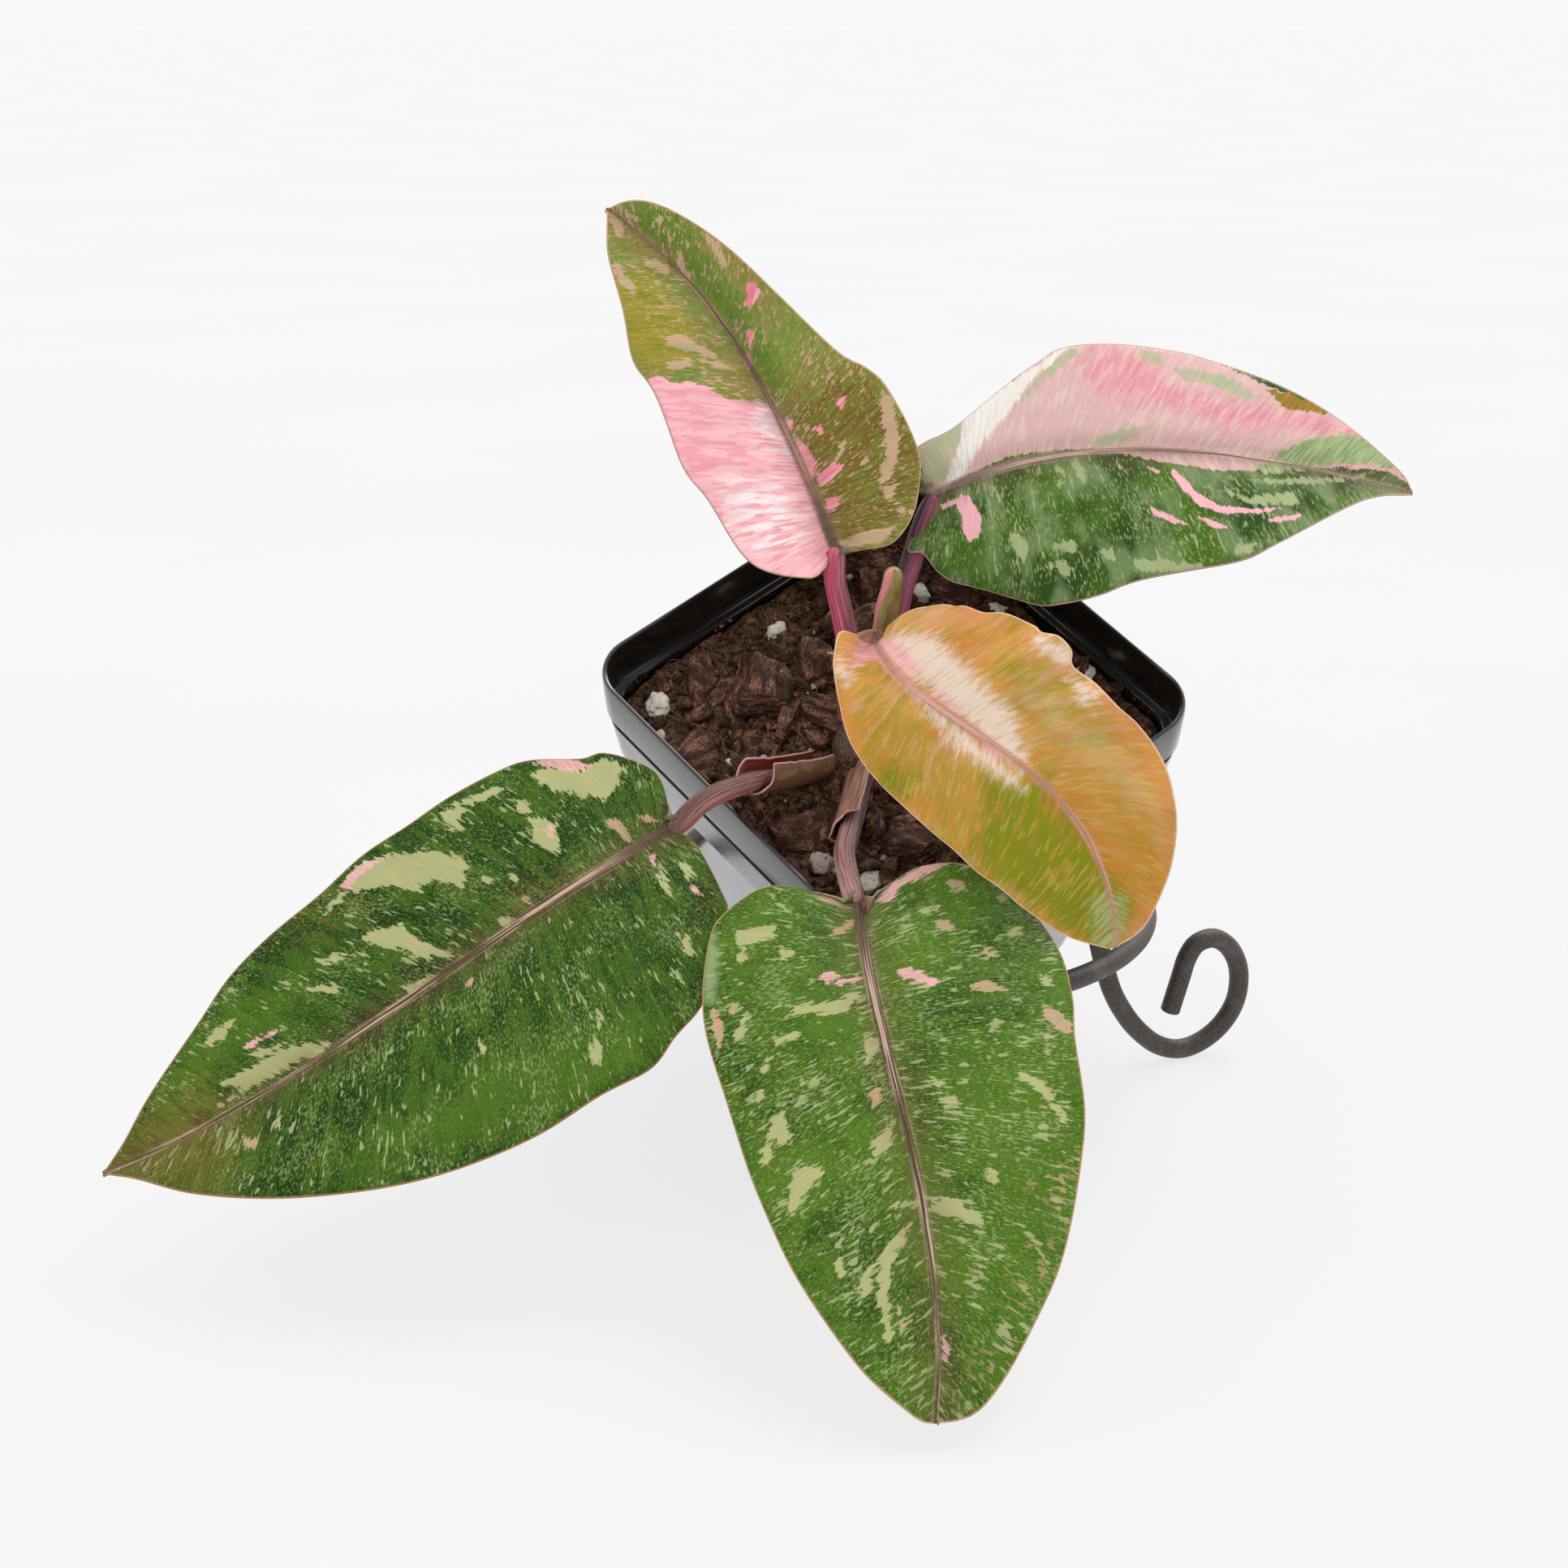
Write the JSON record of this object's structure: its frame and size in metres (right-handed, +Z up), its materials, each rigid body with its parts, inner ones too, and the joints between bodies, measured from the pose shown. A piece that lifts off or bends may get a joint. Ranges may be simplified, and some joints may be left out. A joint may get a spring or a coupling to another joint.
{
  "type": "potted variegated scarlet princess philodendron",
  "caption": "Small variegated aroid in a square black nursery pot that leans back in a scrolled wire stand, its broad leaves spread to the front and sides.",
  "frame": {"origin": "under the middle of the whole object's box, on the table", "axes": "+Z up, +X along the longest side from the lower left leaf's tip to the upper right leaf's tip, -Y towards the viewer, where the pot leans"},
  "size_m": [0.2902, 0.2544, 0.213],
  "materials": {
    "pot_plastic": "satin black moulded polypropylene",
    "wrought_iron": "dark grey brown textured paint on round wire",
    "potting_mix": "matt fibrous peat and bark",
    "pine_bark": "matt broken bark",
    "perlite": "matt white grains",
    "stem": "satin plant stem",
    "stalk_pink": "satin, finely striped along its length",
    "stalk_dark": "satin, finely striped along its length",
    "stalk_mauve": "satin, finely striped along its length",
    "leaf_sheath": "satin, papery edge",
    "young_leaf": "satin olive with a cream edge",
    "leaf_a": "satin olive leaf with a pink half moon",
    "leaf_b": "satin leaf, one half pink, one half speckled green",
    "leaf_c": "satin young leaf, ochre with a cream band",
    "leaf_d": "satin deep green leaf with pale flecks",
    "leaf_e": "satin green leaf with pale flecks"
  },
  "bodies": {
    "root": {"bark_chip_01": "pine_bark", "bark_chip_02": "pine_bark", "bark_chip_03": "pine_bark", "bark_chip_04": "pine_bark", "bark_chip_05": "pine_bark", "bark_chip_06": "pine_bark", "bark_chip_07": "pine_bark", "bark_chip_08": "pine_bark", "bark_chip_09": "pine_bark", "bark_chip_10": "pine_bark", "bark_chip_11": "pine_bark", "bark_chip_12": "pine_bark", "bark_chip_13": "pine_bark", "bark_chip_14": "pine_bark", "bark_chip_15": "pine_bark", "bark_chip_16": "pine_bark", "bark_chip_17": "pine_bark", "blade_a": "leaf_a", "blade_b": "leaf_b", "blade_c": "leaf_c", "blade_d": "leaf_d", "blade_e": "leaf_e", "new_leaf": "young_leaf", "nursery_pot": "pot_plastic", "perlite_01": "perlite", "perlite_02": "perlite", "perlite_03": "perlite", "perlite_04": "perlite", "perlite_05": "perlite", "perlite_06": "perlite", "perlite_07": "perlite", "petiole_a": "stalk_pink", "petiole_b": "stalk_dark", "petiole_c": "stalk_pink", "petiole_d": "stalk_mauve", "petiole_e": "stalk_mauve", "potting_mix": "potting_mix", "sheath_a": "leaf_sheath", "sheath_d": "leaf_sheath", "sheath_e": "leaf_sheath", "stand_leg_front": "wrought_iron", "stand_leg_left": "wrought_iron", "stand_leg_right": "wrought_iron", "stand_ring": "wrought_iron", "stem_crown": "stem"}
  },
  "joints": []
}
